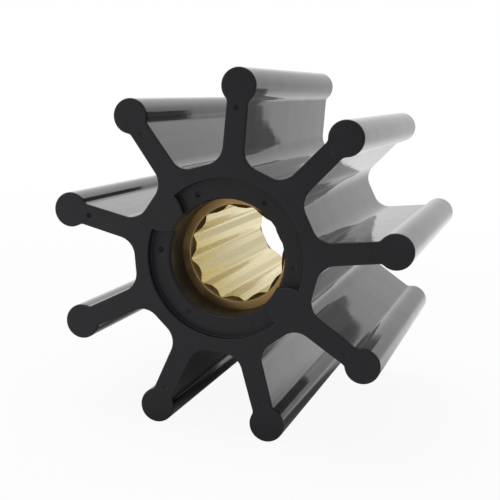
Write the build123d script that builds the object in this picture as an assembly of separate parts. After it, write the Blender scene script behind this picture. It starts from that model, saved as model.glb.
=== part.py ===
from build123d import *
import os
from math import asin, cos, degrees, hypot, radians, sin, tan

# A flexible pump impeller: a moulded rubber hub with nine vanes, bonded round a
# bronze bushing with an internal spline. Millimetres, +Z up. The shaft axis lies
# along Y, with the origin on it at mid length. One vane points straight up, so the
# impeller lies on its two lowest vanes, and the end at -Y faces the viewer.

# Overall size of the rubber
tip_diameter = 95.25
body_length = 88.9

# Vanes: a tapered blade from the hub to a round bead that seals on the pump wall
vane_count = 9
bead_radius = 4.5
vane_tip_thickness = 5.4
vane_root_thickness = 5.8
neck_radius = 1.5
root_radius = 5.0

# Hub: flat between the vanes, measured from the shaft axis to each flat
hub_flat_distance = 24.0

# Step in each end of the hub, broken by two pads left level with the end face
recess_radius = 20.3
recess_depth = 2.0
pad_angle = 150.0
pad_outer_half_angle = 15.0
pad_inner_half_angle = 8.8
pad_side_radius = 9.0

# Open mouth of the hub outside the bushing, slightly tapered and with a bevelled lip
mouth_radius = 15.0
seat_radius = 14.9
seat_depth = 11.1
lip_bevel = 0.7

# Small bevel where the vanes and the hub meet the end faces
edge_break = 0.4

# Shallow round mould marks at the -Y end: on the recess floor and on the vane ends
mark_diameter = 1.5
mark_depth = 0.5
hub_mark_count = 6
hub_mark_circle = 17.6
vane_mark_distance = 37.7

# Bronze bushing and its internal spline
bushing_diameter = 31.75
bushing_edge = 0.6
spline_tooth_count = 12
spline_major_diameter = 25.4
tooth_height = 0.95
tooth_crest_width = 2.0
groove_floor_width = 0.7
tooth_edge_radius = 0.25
lead_in_margin = 0.1
lead_in_depth = 1.4

# Cutting tools run past a face by this much, so that no thin skin is left
overrun = 1.0
# A point nearer to a curve than this lies on it
touching = 0.01

bead_distance = tip_diameter / 2 - bead_radius
bushing_length = body_length - 2 * seat_depth
vane_pitch = 360 / vane_count
crest_radius = spline_major_diameter / 2 - tooth_height
lead_in_radius = spline_major_diameter / 2 + lead_in_margin


def polar(radius, angle):
    """Point at a radius and an angle in degrees, counted from +X towards +Z."""
    return (radius * cos(radians(angle)), radius * sin(radians(angle)))


def front_prism(sketch, depth):
    """The sketch as a prism that cuts to a depth below the -Y end face."""
    inner = body_length / 2 - depth
    return Pos(0, -inner, 0) * extrude(Plane.XZ * sketch, amount=depth + overrun)


def both_ends(tool):
    """A tool for the -Y end together with its mirror image at the other end."""
    return tool + mirror(tool, Plane.XZ)


def turned(points):
    """Solid of revolution about Y through (radius, y) points."""
    return revolve(make_face(Polyline(*points, close=True)), Axis.Y)


def vane():
    """One vane pointing along the sketch's Y: a tapered blade with a round bead."""
    root_half = vane_root_thickness / 2
    tip_half = vane_tip_thickness / 2
    start = hub_flat_distance - vane_root_thickness
    blade = Polygon(
        (-root_half, start),
        (root_half, start),
        (tip_half, bead_distance),
        (-tip_half, bead_distance),
        align=None,
    )
    bead = Pos(0, bead_distance) * Rot(0, 0, -90) * Circle(bead_radius)
    return blade + bead


def rubber_outline():
    """Hub and vanes seen along the shaft, with the roots and the necks rounded."""
    corner_radius = hub_flat_distance / cos(radians(vane_pitch / 2))
    corners = [polar(corner_radius, 90 + i * vane_pitch) for i in range(vane_count)]
    outline = Polygon(*corners, align=None)
    outline += [Rot(0, 0, i * vane_pitch) * vane() for i in range(vane_count)]
    half_flat = hub_flat_distance * tan(radians(vane_pitch / 2)) - vane_root_thickness / 2
    widest = half_flat * tan(radians(45 + vane_pitch / 4))
    middle = (hub_flat_distance + bead_distance) / 2
    roots = [v for v in outline.vertices() if hypot(v.X, v.Y) < middle]
    outline = fillet(roots, min(root_radius, widest))
    necks = [v for v in outline.vertices() if abs(bead_gap(v)) < touching]
    return fillet(necks, neck_radius)


def bead_gap(vertex):
    """How far a point lies from the nearest bead's surface."""
    centres = [polar(bead_distance, 90 + i * vane_pitch) for i in range(vane_count)]
    return min(hypot(vertex.X - x, vertex.Y - y) for x, y in centres) - bead_radius


def recess_sketch():
    """The two C-shaped pockets between the pads, as wide as the recess."""
    pads = []
    for turn in (0, 180):
        left = turn + pad_outer_half_angle
        right = turn + 180 - pad_outer_half_angle
        inner_left = turn + pad_inner_half_angle
        inner_right = turn + 180 - pad_inner_half_angle
        outer = ThreePointArc(
            polar(recess_radius, left),
            polar(recess_radius, turn + 90),
            polar(recess_radius, right),
        )
        inner = ThreePointArc(
            polar(seat_radius, inner_right),
            polar(seat_radius, turn + 90),
            polar(seat_radius, inner_left),
        )
        far_side = RadiusArc(outer @ 1, inner @ 0, pad_side_radius)
        near_side = RadiusArc(inner @ 1, outer @ 0, pad_side_radius)
        pads.append(make_face([outer, far_side, inner, near_side]))
    return Rot(0, 0, pad_angle) * Sketch(children=pads)


def mark_sketch(radius, first_angle, count):
    """Round marks evenly spaced on a circle."""
    spots = [polar(radius, first_angle + i * 360 / count) for i in range(count)]
    return Sketch(children=[Pos(*spot) * Circle(mark_diameter / 2) for spot in spots])


def bushing_blank():
    """The bushing's outside, with a chamfer on each end."""
    radius = bushing_diameter / 2
    half = bushing_length / 2
    return turned(
        [
            (0, -half),
            (radius - bushing_edge, -half),
            (radius, -half + bushing_edge),
            (radius, half - bushing_edge),
            (radius - bushing_edge, half),
            (0, half),
        ]
    )


def mouth_tool():
    """The tapered opening from one end of the hub to the other, past the bushing."""
    end = body_length / 2
    taper = (mouth_radius - seat_radius) / (seat_depth - recess_depth)
    outer = mouth_radius + taper * (recess_depth + overrun)
    seat = bushing_length / 2
    return turned(
        [
            (0, -end - overrun),
            (outer, -end - overrun),
            (seat_radius, -seat),
            (seat_radius, seat),
            (outer, end + overrun),
            (0, end + overrun),
        ]
    )


def lip_tool():
    """What bevels the mouth's edge on each recess floor, from pad to pad."""
    floor = recess_depth - body_length / 2
    widest = mouth_radius + lip_bevel
    ring = turned(
        [
            (seat_radius, floor - overrun),
            (widest + overrun, floor - overrun),
            (seat_radius, floor + widest - seat_radius),
        ]
    )
    return both_ends(ring & front_prism(recess_sketch(), recess_depth + 2 * lip_bevel))


def rubber_blank():
    """Hub and vanes over the whole length, with bevelled ends."""
    blank = extrude(Plane.XZ * rubber_outline(), amount=body_length / 2, both=True)
    ends = [blank.faces().sort_by(Axis.Y)[i] for i in (0, -1)]
    rims = [edge for end in ends for edge in end.edges()]
    return chamfer(rims, edge_break)


def rubber_impeller():
    """The moulded rubber piece, open where the bushing sits."""
    body = rubber_blank()
    body -= both_ends(front_prism(recess_sketch(), recess_depth))
    body -= mouth_tool()
    body -= lip_tool()
    body -= bushing_blank()
    hub_marks = mark_sketch(hub_mark_circle, 0, hub_mark_count)
    vane_marks = mark_sketch(vane_mark_distance, 90, vane_count)
    body -= front_prism(hub_marks, recess_depth + mark_depth)
    body -= front_prism(vane_marks, mark_depth)
    return body


def tooth():
    """One spline tooth on the sketch's Y, from past the major circle to its crest.

    A straight flank runs from the crest's edge to the edge of the groove's floor.
    """
    major = spline_major_diameter / 2
    half_crest = tooth_crest_width / 2
    floor_turn = degrees(asin(groove_floor_width / spline_major_diameter))
    half_root, root = polar(major, 90 - 180 / spline_tooth_count + floor_turn)
    slope = (half_root - half_crest) / (root - crest_radius)
    base = major + tooth_edge_radius
    half_base = half_crest + slope * (base - crest_radius)
    return Polygon(
        (-half_crest, crest_radius),
        (half_crest, crest_radius),
        (half_base, base),
        (-half_base, base),
        align=None,
    )


def spline_bore():
    """The bore's section: the major circle less twelve teeth, edges rounded."""
    bore = Circle(spline_major_diameter / 2)
    pitch = 360 / spline_tooth_count
    bore -= [Rot(0, 0, i * pitch) * tooth() for i in range(spline_tooth_count)]
    return fillet(bore.vertices(), tooth_edge_radius)


def lead_in():
    """Cone that chamfers the spline at the -Y end of the bushing."""
    face = -bushing_length / 2
    slope = (lead_in_radius - crest_radius) / lead_in_depth
    outer = lead_in_radius + slope * overrun
    inner = crest_radius - slope * overrun
    return turned(
        [
            (0, face - overrun),
            (outer, face - overrun),
            (inner, face + lead_in_depth + overrun),
            (0, face + lead_in_depth + overrun),
        ]
    )


def splined_bushing():
    """The bronze bushing with its splined bore."""
    bushing = bushing_blank()
    bushing -= extrude(Plane.XZ * spline_bore(), amount=body_length, both=True)
    bushing -= both_ends(lead_in())
    return bushing


os.makedirs("parts", exist_ok=True)
export_step(rubber_impeller(), "parts/rubber_impeller.step")
export_step(splined_bushing(), "parts/splined_bushing.step")
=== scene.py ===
import logging
from abc import ABC, abstractmethod
from dataclasses import dataclass, field
from enum import Enum
from typing import NamedTuple

import bmesh
import bpy
import numpy as np
from mathutils import Matrix, Vector


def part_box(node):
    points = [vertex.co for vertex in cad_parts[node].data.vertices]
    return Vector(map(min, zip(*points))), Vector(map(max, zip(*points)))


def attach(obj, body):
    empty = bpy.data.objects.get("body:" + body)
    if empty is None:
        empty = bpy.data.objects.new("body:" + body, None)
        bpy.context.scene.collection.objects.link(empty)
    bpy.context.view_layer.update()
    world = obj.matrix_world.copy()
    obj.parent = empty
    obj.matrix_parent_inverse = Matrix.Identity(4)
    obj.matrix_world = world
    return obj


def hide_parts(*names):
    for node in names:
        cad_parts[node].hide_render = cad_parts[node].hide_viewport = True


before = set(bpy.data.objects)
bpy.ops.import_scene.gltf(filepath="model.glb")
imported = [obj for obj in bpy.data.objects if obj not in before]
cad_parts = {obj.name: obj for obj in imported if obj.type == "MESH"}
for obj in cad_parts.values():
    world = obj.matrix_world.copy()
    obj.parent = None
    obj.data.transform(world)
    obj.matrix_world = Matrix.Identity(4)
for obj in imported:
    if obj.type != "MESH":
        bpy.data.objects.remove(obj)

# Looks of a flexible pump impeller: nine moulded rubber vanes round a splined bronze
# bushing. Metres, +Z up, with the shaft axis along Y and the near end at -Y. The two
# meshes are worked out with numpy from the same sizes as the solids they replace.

MM = 0.001
WELD = 1e-6
FLOOR_GAP = 0.02 * MM
FULL_TURN = 360.0
HALF_TURN = 180.0
QUARTER_TURN = 90.0
UNIT = (0.0, 1.0)
MIRROR = np.array([-1.0, 1.0])
END_MASK = "end_face"
# Mask that paints shade on the rubber's rounded edges, steps and pits, and marks worn edges on the
# bronze.
SHADE_AND_WEAR_MASK = "shade_and_wear_mask"

Array = np.ndarray
Socket = bpy.types.NodeSocket
Value = Socket | float
Triple = tuple[float, float, float]
Colour = Triple
Pair = tuple[float, float]
log = logging.getLogger("impeller")


class End(Enum):
    """The two ends of the impeller, by the sign of Y."""

    NEAR = -1.0
    FAR = 1.0


class Ray(Enum):
    """What a ray that meets a surface is for, by the name of its Light Path output."""

    CAMERA = "Is Camera Ray"
    GLOSSY = "Is Glossy Ray"
    TRANSMISSION = "Is Transmission Ray"


# Plane geometry, in (x, z) as seen from the near end


def polar(radius: Array | float, degrees: Array | float) -> Array:
    """Points at a radius and an angle counted from +X towards +Z.

    Args:
        radius: Distance from the axis.
        degrees: Angle in degrees.

    Returns:
        Array of (x, z), with the shape of the inputs in front.
    """
    turn = np.radians(degrees)
    x, z = radius * np.cos(turn), radius * np.sin(turn)
    return np.stack(np.broadcast_arrays(x, z), axis=-1)


def arc(middle: Array, radius: float, start: float, end: float, count: int) -> tuple[Array, Array]:
    """Points middle + radius * (cos t, sin t), with t evenly spaced from start to end.

    Args:
        middle: Middle of the arc.
        radius: Its radius.
        start: First angle in degrees.
        end: Last angle in degrees.
        count: How many points.

    Returns:
        The points and the unit directions from the middle to them.
    """
    out = polar(1.0, np.linspace(start, end, count))
    return middle + radius * out, out


def between(first: Array, last: Array, count: int) -> Array:
    """Points evenly spaced on a straight line, both ends included."""
    return first + np.linspace(0.0, 1.0, count)[:, None] * (last - first)


def angle_of(direction: Array) -> float:
    """Angle of a plane direction in degrees."""
    return float(np.degrees(np.arctan2(direction[1], direction[0])))


def turned(points: Array, degrees: Array | float) -> Array:
    """Points given in a vane's own (across, along) frame, turned to the vane's angle.

    Args:
        points: Array (..., 2), where the second value runs outward along the vane.
        degrees: Angle of the vane, from +X towards +Z.

    Returns:
        Array (..., 2) of (x, z): along * (cos a, sin a) + across * (sin a, -cos a).
    """
    turn = np.radians(degrees)
    across, along = points[..., 0], points[..., 1]
    x = along * np.cos(turn) + across * np.sin(turn)
    z = along * np.sin(turn) - across * np.cos(turn)
    return np.stack([x, z], axis=-1)


def lifted(plane: Array, y: Array | float) -> Array:
    """Plane points (x, z) and their y as points (x, y, z)."""
    return np.stack(np.broadcast_arrays(plane[..., 0], y, plane[..., 1]), axis=-1)


# Meshes


@dataclass
class Skin:
    """A closed surface gathered patch by patch, then welded into one mesh.

    A patch is a grid of points or a set of quads. Points that fall on each other become
    one, so patches that share a border close up, and a row that shrinks to one point
    becomes a closed pole.
    """

    points: list[Array] = field(default_factory=list)
    quads: list[Array] = field(default_factory=list)
    ends: list[Array] = field(default_factory=list)
    edges: list[Array] = field(default_factory=list)
    count: int = 0

    def add_points(self, points: Array, end: Array | float, edge: Array | float) -> Array:
        """Adds points with their two masks.

        Args:
            points: Array (..., 3).
            end: How far each point belongs to an end face, from 0 to 1.
            edge: Edge mask from 0 to 1. On the rubber it paints shade on rounded edges, steps and
                in the marks' pits; on the bronze it marks worn edges.

        Returns:
            The new points' numbers, with the shape of the input.
        """
        shape = points.shape[:-1]
        total = int(np.prod(shape))
        self.points.append(points.reshape(-1, 3))
        self.ends.append(np.broadcast_to(end, shape).reshape(-1))
        self.edges.append(np.broadcast_to(edge, shape).reshape(-1))
        numbers = np.arange(self.count, self.count + total).reshape(shape)
        self.count += total
        return numbers

    def add_grid(self, numbers: Array, closed: bool = False) -> None:
        """Joins a grid of point numbers with quads.

        Args:
            numbers: Array (rows, columns).
            closed: Whether the last column is joined to the first.
        """
        if closed:
            numbers = np.concatenate([numbers, numbers[:, :1]], axis=1)
        low, high = numbers[:-1], numbers[1:]
        corners = [low[:, :-1], low[:, 1:], high[:, 1:], high[:, :-1]]
        self.quads.append(np.stack(corners, axis=-1).reshape(-1, 4))

    def add_strip(self, inner: Array, outer: Array, inner_turn: Array, outer_turn: Array) -> None:
        """Joins two closed rings of different counts with triangles.

        The points of both rings are taken in order of angle. Each makes a triangle with
        the point before it on its own ring and the last one passed on the other ring.

        Args:
            inner: Point numbers of the inner ring, in order of angle.
            outer: Point numbers of the outer ring, in order of angle.
            inner_turn: Angles of the inner ring, from 0 to 360.
            outer_turn: Angles of the outer ring, from 0 to 360.
        """
        order = np.argsort(np.concatenate([inner_turn, outer_turn]), kind="stable")
        is_inner = order < len(inner)
        at_inner = np.cumsum(is_inner) - 1
        at_outer = np.cumsum(~is_inner) - 1
        own = np.where(is_inner, inner[at_inner], outer[at_outer])
        before = np.where(is_inner, inner[at_inner - 1], outer[at_outer - 1])
        other = np.where(is_inner, outer[at_outer], inner[at_inner])
        first = np.where(is_inner, before, own)
        second = np.where(is_inner, own, before)
        self.quads.append(np.stack([first, second, other, other], axis=-1))

    def build(self, name: str) -> bpy.types.Object:
        """Welds the patches and makes the object, with smooth outward faces.

        Args:
            name: Name of the object.

        Returns:
            The object, at the origin, with the two masks as point attributes.
        """
        points = np.concatenate(self.points)
        keys = np.round(points / WELD).astype(np.int64)
        _, first, same = np.unique(keys, axis=0, return_index=True, return_inverse=True)
        mesh = bpy.data.meshes.new(name)
        mesh.vertices.add(len(first))
        mesh.vertices.foreach_set("co", points[first].astype(np.float32).ravel())
        self._fill(mesh, same.reshape(-1)[np.concatenate(self.quads)])
        for mask, values in ((END_MASK, self.ends), (SHADE_AND_WEAR_MASK, self.edges)):
            layer = mesh.attributes.new(mask, "FLOAT", "POINT")
            layer.data.foreach_set("value", np.concatenate(values)[first].astype(np.float32))
        mesh.shade_smooth()
        made = bpy.data.objects.new(name, mesh)
        bpy.context.scene.collection.objects.link(made)
        return made

    @staticmethod
    def _fill(mesh: bpy.types.Mesh, quads: Array) -> None:
        """Adds the faces, all outward.

        A corner with the same point as the next one is left out, so a quad becomes a
        triangle where two of its points were welded, and is dropped where more were.

        Args:
            mesh: The mesh, with its points.
            quads: Point numbers of the corners, Array (faces, 4).
        """
        kept = quads != np.roll(quads, -1, axis=1)
        sides = kept.sum(axis=1)
        solid = sides > 2
        corners = quads[solid][kept[solid]]
        sides = sides[solid]
        mesh.loops.add(len(corners))
        mesh.loops.foreach_set("vertex_index", corners.astype(np.int32))
        mesh.polygons.add(len(sides))
        starts = np.concatenate([[0], np.cumsum(sides)[:-1]])
        mesh.polygons.foreach_set("loop_start", starts.astype(np.int32))
        mesh.update(calc_edges=True)
        working = bmesh.new()
        working.from_mesh(mesh)
        bmesh.ops.recalc_face_normals(working, faces=working.faces)
        working.to_mesh(mesh)
        working.free()


# Shader nodes


@dataclass
class NodeSheet:
    """A node tree with short ways to add and join nodes."""

    tree: bpy.types.NodeTree

    def add(self, kind: str, **settings: object) -> bpy.types.Node:
        """Adds a node.

        Args:
            kind: Name of its type.
            settings: Its properties by name.

        Returns:
            The node.
        """
        node = self.tree.nodes.new(kind)
        for key, value in settings.items():
            setattr(node, key, value)
        return node

    def join(self, source: Socket, target: Socket) -> None:
        """Links an output to an input."""
        self.tree.links.new(source, target)

    def give(self, target: Socket, value: Value | Colour) -> None:
        """Links a socket to an input, or sets the input to a number or a colour.

        Args:
            target: The input.
            value: What it gets.
        """
        if isinstance(value, Socket):
            self.join(value, target)
        elif isinstance(value, tuple):
            target.default_value = (*value, 1.0)
        else:
            target.default_value = value

    def feed(self, node: bpy.types.Node, **values: Value | Colour) -> bpy.types.NodeOutputs:
        """Gives a node's inputs their values.

        Args:
            node: The node.
            values: What its inputs get, by name.

        Returns:
            The node's outputs.
        """
        for key, value in values.items():
            self.give(node.inputs[key], value)
        return node.outputs

    def math(self, operation: str, *values: Value) -> Socket:
        """Adds a Math node.

        Args:
            operation: Its operation, such as MULTIPLY.
            values: Sockets or numbers for its inputs.

        Returns:
            The node's output.
        """
        node = self.add("ShaderNodeMath", operation=operation)
        for socket, value in zip(node.inputs, values):
            self.give(socket, value)
        return node.outputs[0]

    def plus(self, first: Value, second: Value) -> Socket:
        """Sum of two values."""
        return self.math("ADD", first, second)

    def minus(self, first: Value, second: Value) -> Socket:
        """First value less the second."""
        return self.math("SUBTRACT", first, second)

    def times(self, first: Value, second: Value) -> Socket:
        """Product of two values."""
        return self.math("MULTIPLY", first, second)

    def blend(self, share: Socket, low: Socket | Colour, high: Socket | Colour) -> Socket:
        """Mixes two colours by a share.

        Args:
            share: From 0 to 1.
            low: Colour at 0.
            high: Colour at 1.

        Returns:
            The mixed colour.
        """
        node = self.add("ShaderNodeMix", data_type="RGBA")
        colours = [socket for socket in node.inputs if socket.type == "RGBA"]
        self.join(share, node.inputs["Factor"])
        self.give(colours[0], low)
        self.give(colours[1], high)
        return next(socket for socket in node.outputs if socket.type == "RGBA")

    def ramp(self, value: Socket, edges: Pair, levels: Pair = UNIT) -> Socket:
        """Maps a value smoothly from one range onto another, level outside it.

        Args:
            value: What is mapped.
            edges: Ends of its range.
            levels: What they are mapped onto.

        Returns:
            The mapped value.
        """
        node = self.add("ShaderNodeMapRange", interpolation_type="SMOOTHSTEP")
        names = ("From Min", "From Max", "To Min", "To Max")
        return self.feed(node, Value=value, **dict(zip(names, (*edges, *levels))))[0]

    def noise(self, place: Socket, scale: Value, detail: float) -> Socket:
        """Adds a Noise Texture.

        Args:
            place: Where the noise is read.
            scale: Its fineness.
            detail: How many finer layers it has.

        Returns:
            The noise value.
        """
        node = self.add("ShaderNodeTexNoise")
        return self.feed(node, Vector=place, Scale=scale, Detail=detail)[0]

    def axes(self, vector: Socket) -> bpy.types.NodeOutputs:
        """The X, Y and Z of a vector, by name."""
        return self.feed(self.add("ShaderNodeSeparateXYZ"), Vector=vector)

    def vector(self, **parts: Socket) -> Socket:
        """A vector of the X, Y and Z that are given, by name, and 0 for the rest."""
        return self.feed(self.add("ShaderNodeCombineXYZ"), **parts)[0]

    def bump(self, height: Socket, distance: float, normal: Socket | None = None) -> Socket:
        """Adds a Bump node.

        Args:
            height: Height from 0 to 1.
            distance: What a height of 1 stands for, in metres.
            normal: The normal that it starts from, or None for the surface's own.

        Returns:
            The bumped normal.
        """
        node = self.add("ShaderNodeBump")
        if normal is not None:
            self.join(normal, node.inputs["Normal"])
        return self.feed(node, Height=height, Distance=distance)[0]

    def use(self, group: bpy.types.NodeTree, **values: Value) -> bpy.types.NodeOutputs:
        """Places a node group with its own values, and gives its outputs."""
        return self.feed(self.add("ShaderNodeGroup", node_tree=group), **values)


@dataclass
class SharedEffects:
    """Node groups that more than one material places with its own values.

    Edges are the two noise values between which a smooth ramp rises. Detail is how many
    finer layers a noise has. The dimples' fineness and depth are shares of the grain's.
    """

    fine_detail: float = 4.0
    soft_detail: float = 3.0
    dimple_fineness: float = 0.6
    dimple_share: float = 0.35
    dimple_edges: Pair = (0.0, 0.6)
    soft_edges: Pair = (0.3, 0.7)
    shade_and_wear_edges: Pair = (0.35, 0.65)
    shade_and_wear_levels: Pair = (0.35, 1.0)

    def __post_init__(self) -> None:
        """Builds the three groups."""
        self.grain = self._grain()
        self.streaks = self._streaks()
        self.shade_and_wear = self._shade_and_wear()

    @staticmethod
    def _group(
        name: str, values: tuple[str, ...], results: tuple[str, ...]
    ) -> tuple[NodeSheet, bpy.types.NodeOutputs, bpy.types.NodeInputs]:
        """Starts a group with a Place input and named value sockets.

        Args:
            name: Name of the group.
            values: Names of its value inputs.
            results: Names of its value outputs.

        Returns:
            The sheet, what the group is given and what it puts out, both by name.
        """
        tree = bpy.data.node_groups.new(name, "ShaderNodeTree")
        tree.interface.new_socket("Place", in_out="INPUT", socket_type="NodeSocketVector")
        for key in values:
            tree.interface.new_socket(key, in_out="INPUT", socket_type="NodeSocketFloat")
        for key in results:
            tree.interface.new_socket(key, in_out="OUTPUT", socket_type="NodeSocketFloat")
        sheet = NodeSheet(tree)
        return sheet, sheet.add("NodeGroupInput").outputs, sheet.add("NodeGroupOutput").inputs

    def _grain(self) -> bpy.types.NodeTree:
        """Builds fine grain with small dimples, and larger soft clouds.

        Returns:
            The group. Its Height is for bump, and its Mottle for colour and roughness.
        """
        sheet, given, out = self._group(
            "surface grain", ("Fineness", "Clouds"), ("Height", "Mottle")
        )
        fine = sheet.noise(given["Place"], given["Fineness"], self.fine_detail)
        coarser = sheet.times(given["Fineness"], self.dimple_fineness)
        voronoi = sheet.add("ShaderNodeTexVoronoi", feature="F1")
        cells = sheet.feed(voronoi, Vector=given["Place"], Scale=coarser)
        dimple = sheet.ramp(cells["Distance"], self.dimple_edges)
        fine_part = sheet.times(fine, 1.0 - self.dimple_share)
        height = sheet.plus(fine_part, sheet.times(dimple, self.dimple_share))
        clouds = sheet.noise(given["Place"], given["Clouds"], self.soft_detail)
        sheet.join(height, out["Height"])
        sheet.join(sheet.ramp(clouds, self.soft_edges), out["Mottle"])
        return sheet.tree

    def _streaks(self) -> bpy.types.NodeTree:
        """Builds lines along the shaft: noise whose coordinates are squeezed along Y.

        Returns:
            The group.
        """
        sheet, given, out = self._group("axial streaks", ("Fineness", "Squeeze"), ("Streak",))
        axes = sheet.axes(given["Place"])
        squeezed = sheet.times(axes["Y"], given["Squeeze"])
        place = sheet.vector(X=axes["X"], Y=squeezed, Z=axes["Z"])
        streak = sheet.noise(place, given["Fineness"], self.soft_detail)
        sheet.join(sheet.ramp(streak, self.soft_edges), out["Streak"])
        return sheet.tree

    def _shade_and_wear(self) -> bpy.types.NodeTree:
        """Builds the edge mask broken up by noise: painted shade on the rubber, worn edges on the
        bronze.

        Returns:
            The group.
        """
        sheet, given, out = self._group("edge wear", ("Edge", "Fineness"), ("Shade and wear share",))
        noise = sheet.noise(given["Place"], given["Fineness"], self.fine_detail)
        broken = sheet.ramp(noise, self.shade_and_wear_edges, self.shade_and_wear_levels)
        sheet.join(sheet.times(given["Edge"], broken), out["Shade and wear share"])
        return sheet.tree


def new_material(name: str) -> tuple[bpy.types.Material, NodeSheet, bpy.types.Node]:
    """Makes a node material with nothing but its output.

    Args:
        name: Name of the material.

    Returns:
        The material, its sheet and its output node.
    """
    made = bpy.data.materials.new(name)
    made.use_nodes = True
    made.node_tree.nodes.clear()
    sheet = NodeSheet(made.node_tree)
    return made, sheet, sheet.add("ShaderNodeOutputMaterial")


# Finishes


class SurfaceMaps(NamedTuple):
    """What a finish reads from the mesh and from the shared groups.

    Attributes:
        place: Object coordinates.
        end: 1 on the end faces, 0 on the sides.
        side: 1 on the sides, 0 on the end faces.
        mottle: Soft clouds.
        height: Fine grain.
        streak: Lines along the shaft.
        shade_and_wear_share: Painted shade on the rubber's edges, steps and pits, and worn edges
            on the bronze.
    """

    place: Socket
    end: Socket
    side: Socket
    mottle: Socket
    height: Socket
    streak: Socket
    shade_and_wear_share: Socket


@dataclass(frozen=True)
class Finish(ABC):
    """A surface with one look along the shaft, its sides, and one on its end faces.

    Colours are linear, and each pair is mixed by a pattern. Fineness values are noise
    scales for a pattern in metres. Depths are what the bumps stand for, in metres, and
    side_grain is the share of the grain that the sides have.
    """

    name: str
    plain_sockets: tuple[tuple[str, float], ...]
    side_colours: tuple[Colour, Colour]
    face_colours: tuple[Colour, Colour]
    shade_and_wear_colour: Colour
    side_roughness: Pair
    face_roughness: Pair
    grain_fineness: float
    cloud_fineness: float
    streak_fineness: float
    streak_squeeze: float
    grain_depth: float
    side_grain: float
    line_depth: float

    def build(self, effects: SharedEffects) -> bpy.types.Material:
        """Builds the material.

        Args:
            effects: The shared node groups.

        Returns:
            The material.
        """
        made, sheet, out = new_material(self.name)
        maps = self._maps(sheet, effects)
        side = sheet.blend(self._tone(maps), *self.side_colours)
        face = sheet.blend(maps.mottle, *self.face_colours)
        # The edge mask mixes in the edge colour: painted shade on the rubber, worn edges on the
        # bronze.
        colour = sheet.blend(maps.shade_and_wear_share, sheet.blend(maps.end, side, face), self.shade_and_wear_colour)
        side_rough = sheet.ramp(self._gloss(sheet, maps), UNIT, self.side_roughness)
        face_rough = sheet.ramp(maps.mottle, UNIT, self.face_roughness)
        extra = sheet.times(maps.end, sheet.minus(face_rough, side_rough))
        lines = sheet.bump(self._relief(sheet, maps), self.line_depth)
        grain_share = sheet.ramp(maps.end, UNIT, (self.side_grain, 1.0))
        normal = sheet.bump(sheet.times(maps.height, grain_share), self.grain_depth, lines)
        rough = sheet.plus(side_rough, extra)
        varied = (("Base Color", colour), ("Roughness", rough), ("Normal", normal))
        shader = sheet.add("ShaderNodeBsdfPrincipled")
        for key, value in self.plain_sockets + varied:
            sheet.give(shader.inputs[key], value)
        sheet.join(shader.outputs[0], out.inputs["Surface"])
        return made

    def _maps(self, sheet: NodeSheet, effects: SharedEffects) -> SurfaceMaps:
        """Places the shared groups with this finish's values.

        Args:
            sheet: The material's sheet.
            effects: The shared node groups.

        Returns:
            The values that the rest of the material reads.
        """
        place = sheet.add("ShaderNodeTexCoord").outputs["Object"]
        end = sheet.add("ShaderNodeAttribute", attribute_name=END_MASK).outputs["Fac"]
        edge = sheet.add("ShaderNodeAttribute", attribute_name=SHADE_AND_WEAR_MASK).outputs["Fac"]
        fine, lines = self.grain_fineness, self.streak_fineness
        squeeze, clouds = self.streak_squeeze, self.cloud_fineness
        grain = sheet.use(effects.grain, Place=place, Fineness=fine, Clouds=clouds)
        streaks = sheet.use(effects.streaks, Place=place, Fineness=lines, Squeeze=squeeze)
        shade_and_wear = sheet.use(effects.shade_and_wear, Place=place, Fineness=lines, Edge=edge)
        return SurfaceMaps(
            place=place,
            end=end,
            side=sheet.minus(1.0, end),
            mottle=grain["Mottle"],
            height=grain["Height"],
            streak=streaks["Streak"],
            shade_and_wear_share=shade_and_wear["Shade and wear share"],
        )

    @abstractmethod
    def _tone(self, maps: SurfaceMaps) -> Socket:
        """The pattern that mixes the sides' two colours."""

    @abstractmethod
    def _gloss(self, sheet: NodeSheet, maps: SurfaceMaps) -> Socket:
        """The pattern that varies the sides' roughness."""

    @abstractmethod
    def _relief(self, sheet: NodeSheet, maps: SurfaceMaps) -> Socket:
        """The height of the lines left by the mould or the tools."""


@dataclass(frozen=True)
class MouldedRubber(Finish):
    """Black rubber: mould-bright along the vanes, dull on the end faces."""

    name: str = "moulded rubber"
    plain_sockets: tuple[tuple[str, float], ...] = (("IOR", 1.5),)
    side_colours: tuple[Colour, Colour] = ((0.004, 0.004, 0.0043), (0.0075, 0.0075, 0.008))
    face_colours: tuple[Colour, Colour] = ((0.0093, 0.0093, 0.0126), (0.013, 0.013, 0.0172))
    # Painted shade: the darker colour on rounded edges, the recess's wall, the pads' sides, the
    # lip and in the marks' pits.
    shade_and_wear_colour: Colour = (0.004, 0.004, 0.005)
    side_roughness: Pair = (0.035, 0.095)
    face_roughness: Pair = (0.46, 0.56)
    grain_fineness: float = 5200.0
    cloud_fineness: float = 95.0
    streak_fineness: float = 330.0
    streak_squeeze: float = 0.05
    grain_depth: float = 0.012 * MM
    side_grain: float = 0.25
    line_depth: float = 0.02 * MM
    swell_fineness: float = 70.0
    swell_detail: float = 1.0
    swell_share: float = 5.0

    def _tone(self, maps: SurfaceMaps) -> Socket:
        """Soft clouds."""
        return maps.mottle

    def _gloss(self, sheet: NodeSheet, maps: SurfaceMaps) -> Socket:
        """Clouds and flow lines in equal parts."""
        return sheet.times(sheet.plus(maps.mottle, maps.streak), 0.5)

    def _relief(self, sheet: NodeSheet, maps: SurfaceMaps) -> Socket:
        """Flow lines and a long soft swell, both on the sides alone."""
        noise = sheet.noise(maps.place, self.swell_fineness, self.swell_detail)
        swell = sheet.times(noise, self.swell_share)
        return sheet.times(sheet.plus(maps.streak, swell), maps.side)


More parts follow.
